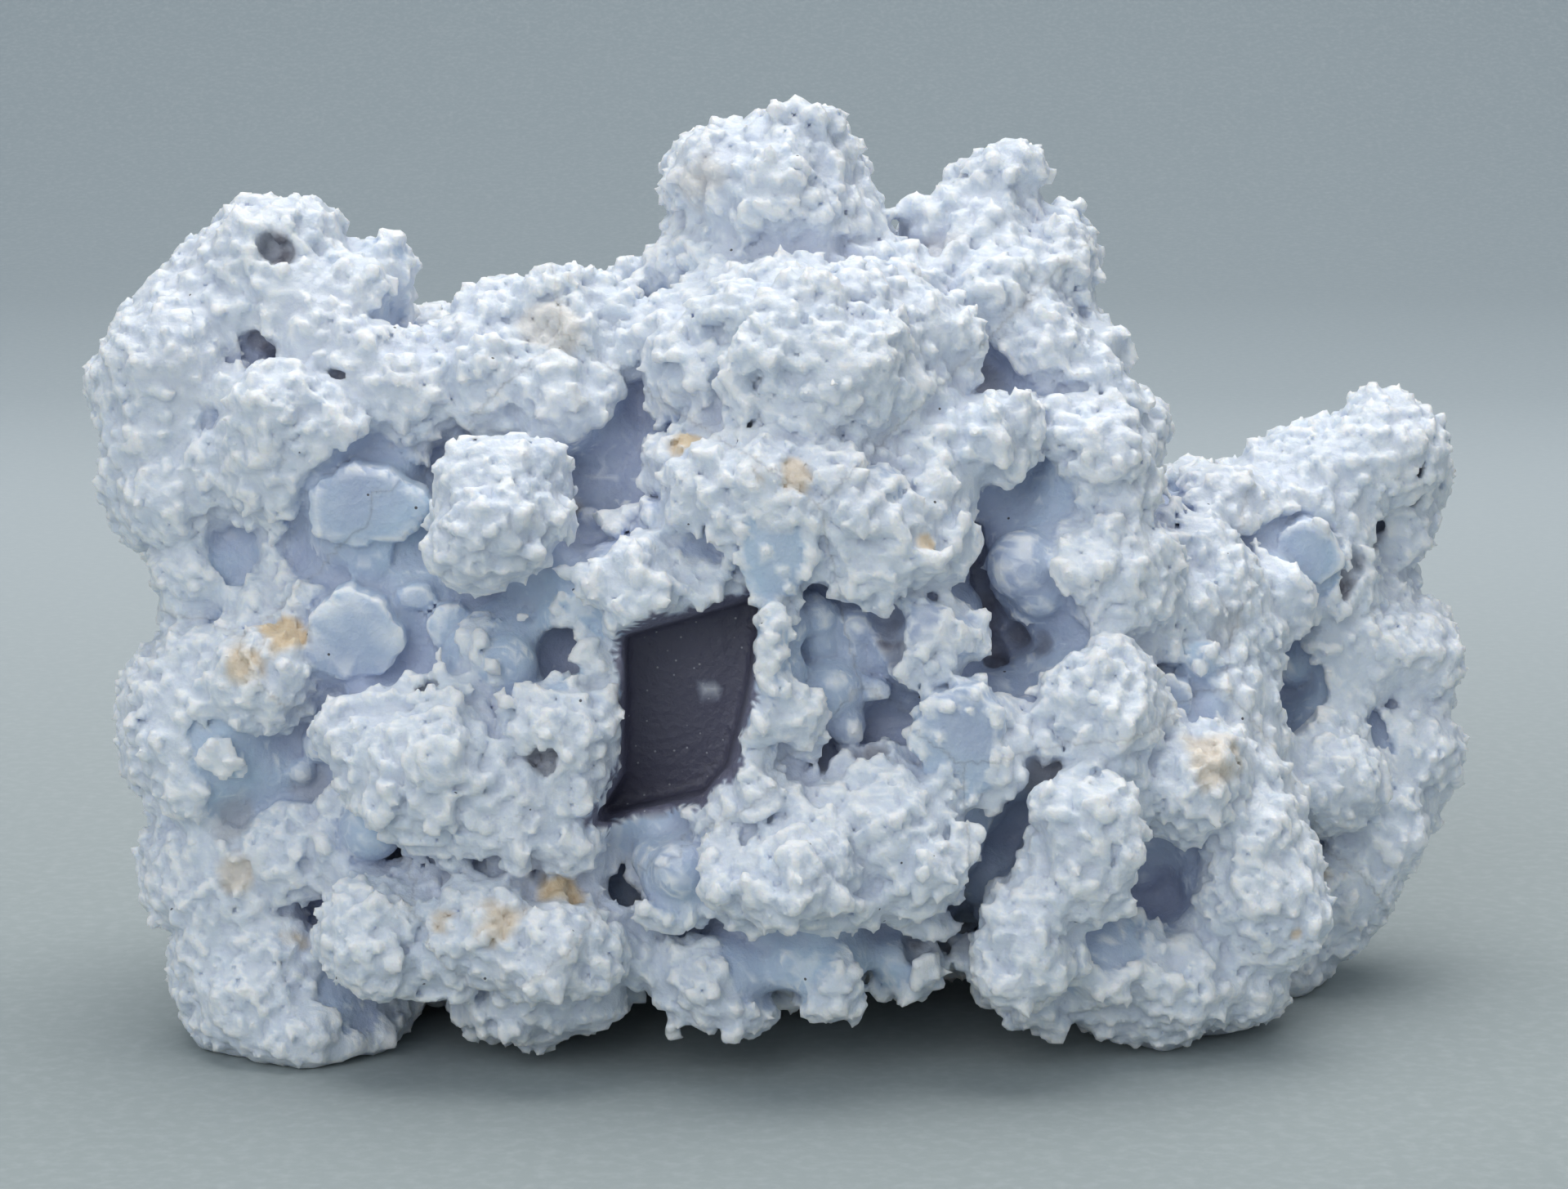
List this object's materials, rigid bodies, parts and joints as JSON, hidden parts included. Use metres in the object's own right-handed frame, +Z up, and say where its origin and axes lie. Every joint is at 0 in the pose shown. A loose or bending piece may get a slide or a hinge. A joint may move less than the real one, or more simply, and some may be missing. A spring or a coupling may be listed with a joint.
{
  "type": "blue chalcedony with calcite specimen",
  "caption": "Natural hand-size cluster of pale blue chalcedony, crusted white, with a sharp-edged pocket left by calcite; stands on its own flat-worn foot.",
  "frame": {"origin": "middle of the bounding box at the surface that the stone stands on", "axes": "+Z up as it stands, +X along its longest side, -Y towards the viewer of its best face, the one with the sharp-edged pocket"},
  "size_m": [0.0677, 0.0368, 0.0445],
  "materials": {
    "chalcedony_specimen": "frosted pale blue to white, slightly translucent, with sugary rims"
  },
  "bodies": {
    "root": {"chalcedony_specimen": "chalcedony_specimen"}
  },
  "joints": []
}
